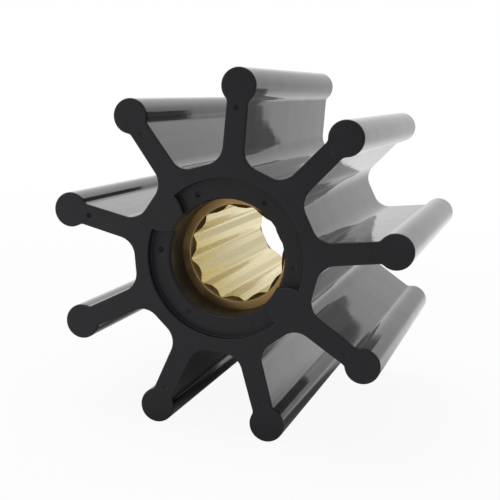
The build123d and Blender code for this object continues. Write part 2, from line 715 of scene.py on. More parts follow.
@dataclass(frozen=True)
class BroachedBronze(Finish):
    """Pale bronze: broached bright in the bore, turned and darker on the end faces."""

    name: str = "broached bronze"
    plain_sockets: tuple[tuple[str, float], ...] = (("Metallic", 1.0),)
    side_colours: tuple[Colour, Colour] = ((0.71, 0.615, 0.33), (0.77, 0.675, 0.38))
    face_colours: tuple[Colour, Colour] = ((0.55, 0.35, 0.15), (0.64, 0.41, 0.17))
    shade_and_wear_colour: Colour = (0.66, 0.5, 0.26)
    side_roughness: Pair = (0.24, 0.3)
    face_roughness: Pair = (0.32, 0.44)
    grain_fineness: float = 4200.0
    cloud_fineness: float = 240.0
    streak_fineness: float = 800.0
    streak_squeeze: float = 0.02
    grain_depth: float = 0.006 * MM
    side_grain: float = 0.35
    line_depth: float = 0.002 * MM
    ring_fineness: float = 3800.0
    ring_detail: float = 2.0

    def _tone(self, maps: SurfaceMaps) -> Socket:
        """Broaching lines."""
        return maps.streak

    def _gloss(self, sheet: NodeSheet, maps: SurfaceMaps) -> Socket:
        """Broaching lines."""
        return maps.streak

    def _relief(self, sheet: NodeSheet, maps: SurfaceMaps) -> Socket:
        """Turning marks on the end faces and broaching lines in the bore.

        The turning marks are noise along the distance from the shaft axis alone.

        Args:
            sheet: The material's sheet.
            maps: What the finish reads.

        Returns:
            The height.
        """
        axes = sheet.axes(maps.place)
        squares = [sheet.times(axes[key], axes[key]) for key in ("X", "Z")]
        radius = sheet.math("SQRT", sheet.plus(*squares))
        rings = sheet.noise(sheet.vector(X=radius), self.ring_fineness, self.ring_detail)
        return sheet.plus(sheet.times(rings, maps.end), sheet.times(maps.streak, maps.side))


# The rubber


@dataclass(frozen=True)
class MouldMark:
    """A soft round dish in a grid of points, drawn as rings in a square block of them.

    Each ring has a radius, from the middle point outward, and a share of the mark's
    depth. Half is from the block's middle to its side, which is that many steps.
    """

    half: float = 0.95 * MM
    steps: int = 5
    radii: tuple[float, ...] = (0.0, 0.3 * MM, 0.52 * MM, 0.64 * MM, 0.76 * MM)
    shares: tuple[float, ...] = (1.0, 0.96, 0.7, 0.3, 0.0)

    @property
    def size(self) -> int:
        """Points along each side of the block."""
        return 2 * self.steps + 1

    def block(self, row: int, column: int) -> tuple[slice, slice]:
        """The block's part of a grid, by its first row and column."""
        return slice(row, row + self.size), slice(column, column + self.size)

    def rings(self) -> tuple[Array, Array, Array]:
        """Draws the rings.

        A point k steps across and l steps along belongs to ring max(|k|, |l|). It goes to
        that ring's radius, at the angle that spreads the ring's 8 * max(|k|, |l|) points
        evenly.

        Returns:
            Offsets (rows, columns, 2) as (across, along), which points are on a ring
            (rows, columns, 1), and how deep each lies in the mark, from 0 to 1.
        """
        steps = np.arange(-self.steps, self.steps + 1)
        along, across = np.meshgrid(steps, steps, indexing="ij")
        ring = np.maximum(np.abs(along), np.abs(across))
        wide = np.abs(across) >= np.abs(along)
        side = np.where(wide, along * np.sign(across), -across * np.sign(along))
        level = np.where(across >= 0, 0.0, 2.0)
        upright = np.where(along > 0, 1.0, 3.0)
        quarters = np.where(wide, level, upright) + 0.5 * side / np.maximum(ring, 1)
        drawn = ring < len(self.radii)
        number = np.where(drawn, ring, 0)
        offset = polar(np.array(self.radii)[number], quarters * QUARTER_TURN)
        return offset, drawn[..., None], np.array(self.shares)[number] * drawn


@dataclass
class VaneOutline:
    """Half of one vane's outline, from the middle of the hub flat to the vane's tip.

    Across is the distance from the vane's middle plane, along the distance from the shaft
    axis. The outline is the flat of the hub, the root arc, the straight flank, the neck
    arc and the bead. Both small arcs touch their neighbours, so their centres follow from
    the distances to the lines and to the bead's centre. The flank's middle stretch lies
    level with the vane's mark.
    """

    tip_radius: float
    mark: MouldMark
    vane_count: int = 9
    bead_radius: float = 4.5 * MM
    tip_half: float = 2.7 * MM
    root_half: float = 2.9 * MM
    root_start: float = 18.2 * MM
    flat_distance: float = 24.0 * MM
    root_radius: float = 5.0 * MM
    neck_radius: float = 1.5 * MM
    mark_distance: float = 37.7 * MM
    flat_points: int = 4
    root_points: int = 18
    lower_points: int = 7
    upper_points: int = 3
    neck_points: int = 12
    bead_points: int = 27

    def profile(self) -> tuple[Array, Array, int]:
        """Works out the outline.

        Returns:
            Points (across, along), their outward unit normals, and the number of the first
            row of the block that holds the vane's mark.
        """
        flat_out = polar(1.0, QUARTER_TURN - HALF_TURN / self.vane_count)
        bead_middle = np.array([0.0, self.tip_radius - self.bead_radius])
        low = np.array([self.root_half, self.root_start])
        high = np.array([self.tip_half, bead_middle[1]])
        rise = (high - low) / np.linalg.norm(high - low)
        flank_out = np.array([rise[1], -rise[0]])
        reach = [self.flat_distance + self.root_radius, low @ flank_out + self.root_radius]
        root_middle = np.linalg.solve(np.array([flat_out, flank_out]), reach)
        neck_middle = self._neck_middle(low, rise, flank_out, bead_middle)
        flat_end = root_middle - self.root_radius * flat_out
        flank_start = root_middle - self.root_radius * flank_out
        flank_end = neck_middle - self.neck_radius * flank_out
        mark_low = self._on_flank(low, rise, self.mark_distance - self.mark.half)
        mark_high = self._on_flank(low, rise, self.mark_distance + self.mark.half)
        into_flat = angle_of(flat_out) + HALF_TURN
        into_flank = angle_of(flank_out) + HALF_TURN
        touch = angle_of(bead_middle - neck_middle)
        flat = between(self.flat_distance * flat_out, flat_end, self.flat_points)
        root, root_in = arc(root_middle, self.root_radius, into_flat, into_flank, self.root_points)
        lower = between(flank_start, mark_low, self.lower_points)
        marked = between(mark_low, mark_high, self.mark.size)
        upper = between(mark_high, flank_end, self.upper_points)
        neck, neck_in = arc(neck_middle, self.neck_radius, into_flank, touch, self.neck_points)
        bead_start = touch - HALF_TURN
        bead, bead_out = arc(
            bead_middle, self.bead_radius, bead_start, QUARTER_TURN, self.bead_points
        )
        runs = [(flat, flat_out), (root, -root_in)]
        runs += [(straight, flank_out) for straight in (lower, marked, upper)]
        runs += [(neck, -neck_in), (bead, bead_out)]
        points = [flat[:1]] + [run[1:] for run, _ in runs]
        normals = [flat_out[None]] + [np.broadcast_to(out, run.shape)[1:] for run, out in runs]
        first_marked = sum(len(run) - 1 for run in (flat, root, lower))
        return np.concatenate(points), np.concatenate(normals), first_marked

    def _neck_middle(self, low: Array, rise: Array, flank_out: Array, bead_middle: Array) -> Array:
        """Middle of the neck arc, which touches the flank and the bead.

        It lies on the flank's line moved out by the neck's radius, where its distance from
        the bead's middle is both radii together: the lower root of a quadratic equation.

        Args:
            low: A point of the flank.
            rise: The flank's direction.
            flank_out: Its outward normal.
            bead_middle: Middle of the bead.

        Returns:
            The point (across, along).
        """
        gap = low + self.neck_radius * flank_out - bead_middle
        level = gap @ rise
        join = self.bead_radius + self.neck_radius
        run = -level - np.sqrt(level**2 - gap @ gap + join**2)
        return bead_middle + gap + run * rise

    @staticmethod
    def _on_flank(low: Array, rise: Array, along: float) -> Array:
        """Point of the flank's line at a distance along the vane."""
        return low + rise * (along - low[1]) / rise[1]

    def angles(self) -> Array:
        """Angles of the vanes, the first straight up."""
        return QUARTER_TURN + np.arange(self.vane_count) * FULL_TURN / self.vane_count


class HubRows(NamedTuple):
    """Rows of the hub, from outside the recess down the mouth to mid length.

    Attributes:
        radius: Radius of each row in a pocket.
        depth: Its depth there, below the end face.
        pad_radius: Its radius on a pad.
        pad_depth: Its depth on a pad.
        shade_and_wear: Its edge mask in a pocket, which paints shade on the recess's wall and the
            lip.
        moved: How far the pads' sides have moved in there, in degrees.
        first_marked: Number of the first row of the block that holds the marks.
    """

    radius: Array
    depth: Array
    pad_radius: Array
    pad_depth: Array
    shade_and_wear: Array
    moved: Array
    first_marked: int


class HubColumns(NamedTuple):
    """Columns of the hub, once round the axis.

    Attributes:
        angle: Angle of each column at the recess's wall.
        offset: Its offset across a pad's side.
        pocket: Its share of pocket depth.
        first_marked: Numbers of the first columns of the blocks that hold the marks.
    """

    angle: Array
    offset: Array
    pocket: Array
    first_marked: list[int]


class Station(NamedTuple):
    """Columns that belong together: a mark's block or the rounding of a pad's side.

    Attributes:
        at: Angle of its middle.
        stray: Angles of its columns, counted from its middle.
        offset: Their offsets across the pad's side.
        pocket: Their shares of pocket depth.
        is_mark: Whether it is a mark's block.
    """

    at: float
    stray: Array
    offset: Array
    pocket: Array
    is_mark: bool


@dataclass
class HubRecess:
    """The stepped recess in an end of the hub, its two pads and the mouth.

    Depths are counted from the end face. Rows run from the hub's outside inward and down
    the mouth, columns run round the axis. Shares place rows on the floor or down the
    mouth. Angles are in degrees, and pad_reach is how far from a pad's middle line the
    columns still lean with its side.
    """

    mark: MouldMark
    hub_radius: float = 21.6 * MM
    recess_radius: float = 20.3 * MM
    recess_depth: float = 2.0 * MM
    rim_round: float = 0.3 * MM
    foot_round: float = 0.2 * MM
    lip_round: float = 0.75 * MM
    pad_lip_round: float = 0.35 * MM
    mouth_radius: float = 15.0 * MM
    seat_radius: float = 14.9 * MM
    seat_depth: float = 11.1 * MM
    pad_angle: float = 150.0
    pad_outer_half: float = 15.0
    pad_inner_half: float = 8.8
    pad_side_radius: float = 9.0 * MM
    pad_reach: float = 24.0
    mark_circle: float = 17.6 * MM
    mark_count: int = 6
    step_points: int = 6
    lip_points: int = 8
    floor_shares: tuple[float, ...] = (0.25, 0.6)
    mouth_shares: tuple[float, ...] = (0.06, 0.35, 0.7, 0.94, 1.0)
    column_step: float = 1.3

    def mouth_at(self, depth: Array | float) -> Array | float:
        """Radius of the tapered mouth at a depth below the end face."""
        taper = (self.mouth_radius - self.seat_radius) / (self.seat_depth - self.recess_depth)
        return self.mouth_radius - taper * (depth - self.recess_depth)

    def side_angle(self, radius: Array) -> Array:
        """Half angle of a pad at each radius.

        The pad's side is an arc through its outer and inner corner. The law of cosines in
        the triangle of the axis, the arc's centre and the point gives the angle.

        Args:
            radius: Distances from the axis.

        Returns:
            Angles in degrees, from the pad's middle line to its side.
        """
        outer = polar(self.recess_radius, self.pad_outer_half)
        inner = polar(self.seat_radius, self.pad_inner_half)
        chord = outer - inner
        half = np.linalg.norm(chord) / 2
        across = np.array([chord[1], -chord[0]]) / (2 * half)
        centre = (outer + inner) / 2 + across * np.sqrt(self.pad_side_radius**2 - half**2)
        reach = np.linalg.norm(centre)
        cosine = (radius**2 + reach**2 - self.pad_side_radius**2) / (2 * radius * reach)
        return angle_of(centre) + np.degrees(np.arccos(cosine))

    def step_profile(self) -> tuple[Array, Array]:
        """The recess's wall seen from the side: a rounded rim and a rounded foot.

        Returns:
            How far each point lies outside the wall's line, and its depth.
        """
        turn = np.radians(np.linspace(0.0, QUARTER_TURN, self.step_points))
        rim, foot = self.rim_round, self.foot_round
        offset = [rim * (1 - np.sin(turn)), -foot * (1 - np.cos(turn))]
        depth = [rim * (1 - np.cos(turn)), self.recess_depth - foot * (1 - np.sin(turn))]
        return np.concatenate(offset), np.concatenate(depth)

    def lip_profile(self, level: float, rounding: float) -> tuple[Array, Array]:
        """Quarter circle from a flat into the mouth.

        Args:
            level: Depth of the flat.
            rounding: Radius of the quarter circle.

        Returns:
            Radius and depth of each point.
        """
        turn = np.radians(np.linspace(0.0, QUARTER_TURN, self.lip_points))
        middle = self.mouth_at(level + rounding) + rounding
        return middle - rounding * np.sin(turn), level + rounding * (1 - np.cos(turn))

    def mouth_depths(self, start: float) -> Array:
        """Depths of the rows from a lip's foot down the mouth to the bushing."""
        return start + np.array(self.mouth_shares) * (self.seat_depth - start)

    def rows(self, bushing_radius: float, bushing_edge: float, half_length: float) -> HubRows:
        """Works out the rows.

        Args:
            bushing_radius: Radius of the bushing's outside.
            bushing_edge: Its chamfer.
            half_length: Half the length of the rubber.

        Returns:
            The rows.
        """
        offset, wall_depth = self.step_profile()
        wall = self.recess_radius + offset
        plain = np.linspace(wall[0], wall[-1], len(wall))
        block = self.mark_circle + self.mark.half * np.linspace(1.0, -1.0, self.mark.size)
        lip, lip_depth = self.lip_profile(self.recess_depth, self.lip_round)
        pad_lip, pad_lip_depth = self.lip_profile(0.0, self.pad_lip_round)
        hub = np.array([self.hub_radius, wall[0] + self.rim_round])
        floor_out = wall[-1] - np.array(self.floor_shares) * (wall[-1] - block[0])
        floor_in = np.array([(block[-1] + lip[0]) / 2, lip[0] + self.pad_lip_round / 2])
        floor = np.concatenate([floor_out, block, floor_in])
        mouth_depth = self.mouth_depths(lip_depth[-1])
        pad_mouth_depth = self.mouth_depths(pad_lip_depth[-1])
        mouth, pad_mouth = self.mouth_at(mouth_depth), self.mouth_at(pad_mouth_depth)
        seat = np.array([bushing_radius - bushing_edge, bushing_radius, bushing_radius])
        seat_depth = np.array([self.seat_depth, self.seat_depth + bushing_edge, half_length])
        # Painted shade on the recess's wall and the lip, darkest halfway down each.
        wall_shade = np.sin(np.linspace(0.0, np.pi, len(wall)))
        lip_shade = np.sin(np.linspace(0.0, np.pi, len(lip)))
        strips = [
            (hub, 0.0, hub, 0.0, 0.0),
            (wall, wall_depth, plain, 0.0, wall_shade),
            (floor, self.recess_depth, floor, 0.0, 0.0),
            (lip, lip_depth, pad_lip, pad_lip_depth, lip_shade),
            (mouth, mouth_depth, pad_mouth, pad_mouth_depth, 0.0),
            (seat, seat_depth, seat, seat_depth, 0.0),
        ]
        stacked = [np.stack(np.broadcast_arrays(*strip)) for strip in strips]
        radius, depth, pad_radius, pad_depth, shade_and_wear = np.concatenate(stacked, axis=1)
        within = np.clip(radius, self.seat_radius, self.recess_radius)
        moved = self.pad_outer_half - self.side_angle(within)
        moved[-len(seat):] = self.pad_outer_half - self.pad_inner_half
        first_marked = len(hub) + len(wall) + len(floor_out)
        return HubRows(radius, depth, pad_radius, pad_depth, shade_and_wear, moved, first_marked)

    def stations(self) -> list[Station]:
        """Works out the blocks of the marks and the roundings of the pads' sides.

        Returns:
            The stations, in order of angle.
        """
        steps = np.linspace(-1.0, 1.0, self.mark.size)
        spread = np.degrees(self.mark.half / self.mark_circle) * steps
        level, full = np.zeros(len(spread)), np.ones(len(spread))
        pitch = FULL_TURN / self.mark_count
        found = [Station(k * pitch, spread, level, full, True) for k in range(self.mark_count)]
        offset, depth = self.step_profile()
        stray = np.degrees(-offset / self.recess_radius)
        pocket = depth / self.recess_depth
        for middle in (self.pad_angle, self.pad_angle + HALF_TURN):
            for side in (-1, 1):
                at = middle + side * self.pad_outer_half
                sides = [side * stray[::side], -side * offset[::side], pocket[::side]]
                found.append(Station(at, *sides, False))
        return sorted(found, key=lambda station: station.at)

    def columns(self) -> HubColumns:
        """Works out the columns: the stations with evenly spaced columns between them.

        Returns:
            The columns.
        """
        stations = self.stations()
        angles, offsets, pockets, first_marked = [], [], [], []
        count = 0
        for station, following in zip(stations, stations[1:] + stations[:1]):
            start = station.at + station.stray[-1]
            end = following.at + following.stray[0]
            end += FULL_TURN * (end < start)
            fill_count = int(np.ceil((end - start) / self.column_step)) + 1
            fill = np.linspace(start, end, fill_count)[1:-1]
            if station.is_mark:
                first_marked.append(count)
            angles += [station.at + station.stray, fill]
            offsets += [station.offset, np.zeros(len(fill))]
            pockets += [station.pocket, np.full(len(fill), station.pocket[-1])]
            count += len(station.stray) + len(fill)
        joined = [np.concatenate(parts) for parts in (angles, offsets, pockets)]
        return HubColumns(*joined, first_marked)

    def bent(self, rows: HubRows, columns: HubColumns) -> Array:
        """Angles of the columns in each row, so that they follow the pads' sides.

        A column at an angle p from the nearest pad's middle moves in by the row's shift
        times p / half inside the pad, and times a share that fades to none outside it.

        Args:
            rows: The rows.
            columns: The columns.

        Returns:
            Array (rows, columns) of angles.
        """
        base = columns.angle - np.degrees(columns.offset / self.recess_radius)
        from_pad = (base - self.pad_angle + QUARTER_TURN) % HALF_TURN - QUARTER_TURN
        size = np.abs(from_pad)
        inside = size / self.pad_outer_half
        outside = (self.pad_reach - size) / (self.pad_reach - self.pad_outer_half)
        share = np.sign(from_pad) * np.clip(np.minimum(inside, outside), 0.0, 1.0)
        reach = np.maximum(rows.radius, self.seat_radius)
        stray = np.degrees(columns.offset[None, :] / reach[:, None])
        return base[None, :] - rows.moved[:, None] * share[None, :] + stray


@dataclass
class RubberImpeller:
    """The moulded rubber: hub, vanes with their beads, recesses, pads and marks.

    The marks at the near end differ in depth, and the far end has none. The edge mask
    paints shade: it is 1 in a mark as deep as full_mark, and rounding_shade on a rounded
    edge, the recess's wall, the pads' sides and the lip. Across shares place the columns
    of a vane's end face on each side of its mark, and hold_share the ring just inside the
    hub's flats, where the strip to the hub begins.
    """

    low: Vector
    high: Vector
    bushing_radius: float
    bushing_edge: float = 0.6 * MM
    edge_round: float = 0.38 * MM
    edge_points: int = 6
    straight_rows: int = 9
    hub_marks_in_mm: tuple[float, ...] = (0.16, 0.42, 0.45, 0.5, 0.3, 0.16)
    vane_marks_in_mm: tuple[float, ...] = (0.5, 0.2, 0.5, 0.03, 0.16, 0.16, 0.2, 0.06, 0.2)
    # Painted shade: full in a mark as deep as full_mark, and rounding_shade on rounded edges and
    # steps.
    full_mark: float = 0.5 * MM
    rounding_shade: float = 0.25
    hold_share: float = 0.985
    across_shares: tuple[float, ...] = (1.0, 0.93, 0.66)
    mark: MouldMark = MouldMark()
    finish: MouldedRubber = MouldedRubber()

    def __post_init__(self) -> None:
        """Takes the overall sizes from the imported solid, and makes the two parts."""
        self.half_length = (self.high.y - self.low.y) / 2
        self.outline = VaneOutline(tip_radius=self.high.z, mark=self.mark)
        self.recess = HubRecess(mark=self.mark)

    def build(self, effects: SharedEffects) -> bpy.types.Object:
        """Builds the rubber as one closed mesh.

        Args:
            effects: The shared node groups.

        Returns:
            The finished object.
        """
        skin = Skin()
        points, normals, marked = self.outline.profile()
        self._sides(skin, points, normals)
        for end in End:
            self._end_face(skin, points - self.edge_round * normals, marked, end)
        made = skin.build("rubber_skin")
        made.data.materials.append(self.finish.build(effects))
        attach(made, "root")
        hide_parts("rubber_impeller")
        return made

    def _rounding(self) -> tuple[Array, Array, Array, Array]:
        """A quarter circle of edge_round at each end with straight rows between them.

        Returns:
            Inset from the outline, y, end mask and edge mask of each row along the length.
        """
        turn = np.radians(np.linspace(0.0, QUARTER_TURN, self.edge_points))
        inset = self.edge_round * (1 - np.sin(turn))
        near = -self.half_length + self.edge_round * (1 - np.cos(turn))
        reach = self.half_length - 2 * self.edge_round
        straight = np.linspace(-1.0, 1.0, self.straight_rows) * reach
        y = np.concatenate([near, straight, -near[::-1]])
        # The edge mask paints shade on the rounded edges, most halfway round.
        rounded = (inset, np.cos(turn), self.rounding_shade * np.sin(2 * turn))
        none = np.zeros(self.straight_rows)
        inset, dull, edge = [np.concatenate([part, none, part[::-1]]) for part in rounded]
        return inset, y, dull, edge

    def _sides(self, skin: Skin, points: Array, normals: Array) -> None:
        """Adds flanks and beads: the outline carried along Y, inset at both ends.

        Args:
            skin: What the rows are added to.
            points: Half of a vane's outline.
            normals: Its outward normals.
        """
        loop = np.concatenate([points[:-1], points[:0:-1] * MIRROR])
        out = np.concatenate([normals[:-1], normals[:0:-1] * MIRROR])
        vanes = self.outline.angles()[:, None]
        around = turned(loop[None], vanes).reshape(-1, 2)
        outward = turned(out[None], vanes).reshape(-1, 2)
        inset, y, dull, edge = self._rounding()
        plane = around[None] - inset[:, None, None] * outward[None]
        numbers = skin.add_points(lifted(plane, y[:, None]), dull[:, None], edge[:, None])
        skin.add_grid(numbers, closed=True)

    def _end_face(self, skin: Skin, border: Array, marked: int, end: End) -> None:
        """Adds one end: nine vane faces, the hub's rings and the strip between them.

        Args:
            skin: What the patches are added to.
            border: The outline's points, inset by the edge's rounding.
            marked: Number of the first row of the vane mark's block.
            end: Which end it is.
        """
        face, dish = self._vane_face(border, marked)
        vanes = self.outline.angles()[:, None, None]
        sunk = self._depths(self.vane_marks_in_mm, end)[:, None, None] * dish
        y = end.value * (self.half_length - sunk)
        # Painted shade in the marks' pits, darker the deeper they are.
        pit_shade = sunk / self.full_mark
        numbers = skin.add_points(lifted(turned(face[None], vanes), y), 1.0, pit_shade)
        for vane in numbers:
            skin.add_grid(vane)
        flat_ring = numbers[:, 0, :-1].reshape(-1)
        places = turned(face[None, 0, :-1], vanes[:, 0]).reshape(-1, 2)
        ring_y = end.value * self.half_length
        held = skin.add_points(lifted(self.hold_share * places, ring_y), 1.0, 0.0)
        skin.add_grid(np.stack([flat_ring, held]), closed=True)
        hub, hub_turns = self._hub(skin, end)
        held_turns = np.degrees(np.arctan2(places[:, 1], places[:, 0])) % FULL_TURN
        outer, inner = np.argsort(held_turns), np.argsort(hub_turns)
        skin.add_strip(hub[inner], held[outer], hub_turns[inner], held_turns[outer])

    @staticmethod
    def _depths(millimetres: tuple[float, ...], end: End) -> Array:
        """Depths of the marks at an end in metres: none at the far one."""
        return np.array(millimetres) * (MM if end is End.NEAR else 0.0)

    def _vane_face(self, border: Array, marked: int) -> tuple[Array, Array]:
        """One vane's end face: rows straight across, from border point to border point.

        Args:
            border: The right half of the border, from the hub flat to the tip.
            marked: Number of the first row of the mark's block.

        Returns:
            Points (rows, columns, 2) as (across, along), and how deep each lies in the
            mark, from 0 to 1.
        """
        mark = self.mark
        half_block = mark.half / border[marked + mark.steps, 0]
        outer = np.array(self.across_shares)
        inner = np.linspace(-half_block, half_block, mark.size)
        shares = np.concatenate([-outer, inner, outer[::-1]])
        across = -shares[None, :] * border[:, :1]
        along = np.broadcast_to(border[:, 1:], across.shape)
        face = np.stack([across, along], axis=-1)
        sunk = np.zeros(across.shape)
        offset, drawn, dish = mark.rings()
        placed = np.array([0.0, self.outline.mark_distance]) + offset * MIRROR
        block = mark.block(marked, len(outer))
        face[block] = np.where(drawn, placed, face[block])
        sunk[block] = dish
        return face, sunk

    def _hub(self, skin: Skin, end: End) -> tuple[Array, Array]:
        """The hub's rings, from outside the recess down the mouth to mid length.

        Args:
            skin: What the rings are added to.
            end: Which end it is.

        Returns:
            Point numbers of the outermost ring and their angles from 0 to 360.
        """
        recess = self.recess
        rows = recess.rows(self.bushing_radius, self.bushing_edge, self.half_length)
        columns = recess.columns()
        turns = recess.bent(rows, columns)
        pocket = columns.pocket[None, :]
        radii = rows.pad_radius[:, None] + pocket * (rows.radius - rows.pad_radius)[:, None]
        sinks = rows.pad_depth[:, None] + pocket * (rows.depth - rows.pad_depth)[:, None]
        plane = polar(radii, turns)
        side_wall = np.sin(np.pi * pocket) * (pocket > 0)
        within = (rows.radius < recess.recess_radius)[:, None]
        # Painted shade on the recess's wall, the lip and the pads' sides.
        rounded = np.maximum(rows.shade_and_wear[:, None] * pocket, side_wall * within)
        painted_shade = self.rounding_shade * rounded
        offset, drawn, dish = self.mark.rings()
        placed = np.array([0.0, recess.mark_circle]) - offset
        depths = self._depths(self.hub_marks_in_mm, end)
        for number, (first, depth) in enumerate(zip(columns.first_marked, depths)):
            middle = number * FULL_TURN / recess.mark_count
            block = self.mark.block(rows.first_marked, first)
            plane[block] = np.where(drawn, turned(placed, middle), plane[block])
            sinks[block] += depth * dish
            # Painted shade in the mark's pit, darker the deeper it is.
            painted_shade[block] += depth * dish / self.full_mark
        y = end.value * (self.half_length - sinks)
        numbers = skin.add_points(lifted(plane, y), 1.0, painted_shade)
        skin.add_grid(numbers, closed=True)
        return numbers[0], turns[0] % FULL_TURN


# The bushing


@dataclass
class SplinedBushing:
    """The bronze bushing: a ring section carried round the spline's outline.

    Each column belongs to one point of the spline's outline. Its rows go once round the
    bushing's section, so the surface closes in both directions. A point of lead_in_curve
    is how far out and how deep it lies, in shares of lead_in_edge, and its edge mask.
    Other shares place rows down the lead-in cone or along the bore. Wear values are edge
    masks and cone_dull is an end mask. Where the cone meets the bore, both masks are
    meeting_mask.
    """

    low: Vector
    high: Vector
    tooth_count: int = 12
    major_radius: float = 12.7 * MM
    tooth_height: float = 0.95 * MM
    crest_half: float = 1.0 * MM
    root_half: float = 2.95 * MM
    corner_round: float = 0.25 * MM
    run_points: int = 5
    outer_edge: float = 0.6 * MM
    side_start: float = 2.4 * MM
    face_margin: float = 0.2 * MM
    lead_in_radius: float = 12.8 * MM
    lead_in_depth: float = 1.4 * MM
    lead_in_edge: float = 0.1 * MM
    lead_in_curve: tuple[Triple, ...] = ((1.0, 0.0, 0.2), (0.4, 0.1, 1.0), (-0.1, 0.45, 1.0))
    cone_shares: tuple[float, ...] = (0.5, 0.93)
    bore_shares: tuple[float, ...] = (0.02, 0.12, 0.3, 0.5, 0.75, 1.0)
    chamfer_wear: float = 0.5
    cone_wear: float = 0.2
    cone_dull: float = 0.8
    meeting_mask: float = 0.4
    finish: BroachedBronze = BroachedBronze()

    def __post_init__(self) -> None:
        """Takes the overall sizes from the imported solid."""
        self.half_length = (self.high.y - self.low.y) / 2
        self.outer_radius = self.high.x
        self.crest_radius = self.major_radius - self.tooth_height

    def half_tooth(self) -> Array:
        """Outline of half a tooth, from the middle of its crest to the middle of a groove.

        The crest and the flank are straight lines and the groove is an arc of the major
        circle. A quadratic curve through each corner's point and its two neighbours at
        the rounding's length stands for the small rounding.

        Returns:
            Points (across, along), where along is counted from the shaft axis.
        """
        root_along = np.sqrt(self.major_radius**2 - self.root_half**2)
        crest = np.array([self.crest_half, self.crest_radius])
        root = np.array([self.root_half, root_along])
        slope = (root - crest) / np.linalg.norm(root - crest)
        groove_middle = QUARTER_TURN - HALF_TURN / self.tooth_count
        groove_start = angle_of(root) - np.degrees(self.corner_round / self.major_radius)
        turns = np.linspace(groove_start, groove_middle, self.run_points)
        groove = polar(self.major_radius, turns)
        top = np.array([0.0, self.crest_radius])
        flat = between(top, crest - [self.corner_round, 0.0], self.run_points)
        first = self._corner(flat[-1], crest, crest + slope * self.corner_round)
        second = self._corner(root - slope * self.corner_round, root, groove[0])
        flank = between(first[-1], second[0], self.run_points)
        return np.concatenate([flat, first[1:], flank[1:], second[1:], groove[1:]])

    def _corner(self, start: Array, corner: Array, end: Array) -> Array:
        """Quadratic curve (1-t)^2 start + 2t(1-t) corner + t^2 end, t from 0 to 1."""
        t = np.linspace(0.0, 1.0, self.run_points)[:, None]
        return (1 - t) ** 2 * start + 2 * t * (1 - t) * corner + t**2 * end

    def outline(self) -> tuple[Array, Array]:
        """Works out the whole spline's outline.

        Returns:
            Radius and angle of each of its points, in order of angle.
        """
        half = self.half_tooth()
        whole = np.concatenate([half[:0:-1], half * MIRROR])[:-1]
        middles = (np.arange(self.tooth_count) * FULL_TURN / self.tooth_count)[:, None]
        plane = turned(whole[None], middles).reshape(-1, 2)
        radius = np.hypot(plane[:, 0], plane[:, 1])
        return radius, np.degrees(np.arctan2(plane[:, 1], plane[:, 0]))

    def build(self, effects: SharedEffects) -> bpy.types.Object:
        """Builds the bushing as one closed mesh.

        Args:
            effects: The shared node groups.

        Returns:
            The finished object.
        """
        bore, turns = self.outline()
        radius, depth, end, edge = self._half_section(bore)
        grid = polar(radius, turns[None, :])
        y = self.half_length - depth
        points = np.concatenate([lifted(grid, -y), lifted(grid, y)[::-1]])
        masks = [np.concatenate([mask, mask[::-1]]) for mask in (end, edge)]
        skin = Skin()
        numbers = skin.add_points(points, *masks)
        skin.add_grid(np.concatenate([numbers, numbers[:1]]), closed=True)
        made = skin.build("bushing_bronze")
        made.data.materials.append(self.finish.build(effects))
        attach(made, "root")
        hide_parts("splined_bushing")
        return made

    def _half_section(self, bore: Array) -> Array:
        """Half of the section: outside, chamfer, face, lead-in cone and bore to mid length.

        The lead-in cone falls from its radius at the face to the crests. In each column it
        ends where it meets the spline, at a depth of its height over the cone's slope.

        Args:
            bore: Radius of the spline in each column.

        Returns:
            Radius, depth below the face, end mask and edge mask, each (rows, columns).
        """
        slope = (self.lead_in_radius - self.crest_radius) / self.lead_in_depth
        corner = self.outer_radius - self.outer_edge
        top = self.lead_in_radius - self.lead_in_edge * slope
        rows = [
            (self.outer_radius, self.half_length, 0.0, 0.0),
            (self.outer_radius, self.side_start, 0.0, 0.0),
            (self.outer_radius, self.outer_edge, 1.0, self.chamfer_wear),
            (corner, 0.0, 1.0, self.chamfer_wear),
            (corner - self.face_margin, 0.0, 1.0, 0.0),
            (self.lead_in_radius + self.face_margin, 0.0, 1.0, 0.0),
        ]
        for out, down, shade_and_wear in self.lead_in_curve:
            radius = self.lead_in_radius + self.lead_in_edge * out
            rows.append((radius, self.lead_in_edge * down, 1.0, shade_and_wear))
        rows.append((top, self.lead_in_edge, self.cone_dull, self.cone_wear))
        drop = (top - bore) / slope
        for share in self.cone_shares:
            depth = self.lead_in_edge + share * drop
            rows.append((top + share * (bore - top), depth, self.cone_dull, 0.0))
        end = self.lead_in_edge + drop
        rows.append((bore, end, self.meeting_mask, self.meeting_mask))
        for share in self.bore_shares:
            rows.append((bore, end + share * (self.half_length - end), 0.0, 0.0))
        full = [np.stack([np.broadcast_to(part, bore.shape) for part in row]) for row in rows]
        return np.stack(full, axis=1)


# The studio


@dataclass(frozen=True)
class Softbox:
    """A flat lamp that looks at a point."""

    name: str
    place: Triple
    target: Triple
    size: Pair
    watts: float

    def build(self) -> None:
        """Adds the lamp to the scene."""
        light = bpy.data.lights.new(self.name, "AREA")
        light.shape = "RECTANGLE"
        light.size, light.size_y = self.size
        light.energy = self.watts
        lamp = bpy.data.objects.new(self.name, light)
        lamp.location = self.place
        aim = Vector(self.target) - Vector(self.place)
        lamp.rotation_euler = aim.to_track_quat("-Z", "Y").to_euler()
        lamp.visible_camera = False
        bpy.context.scene.collection.objects.link(lamp)


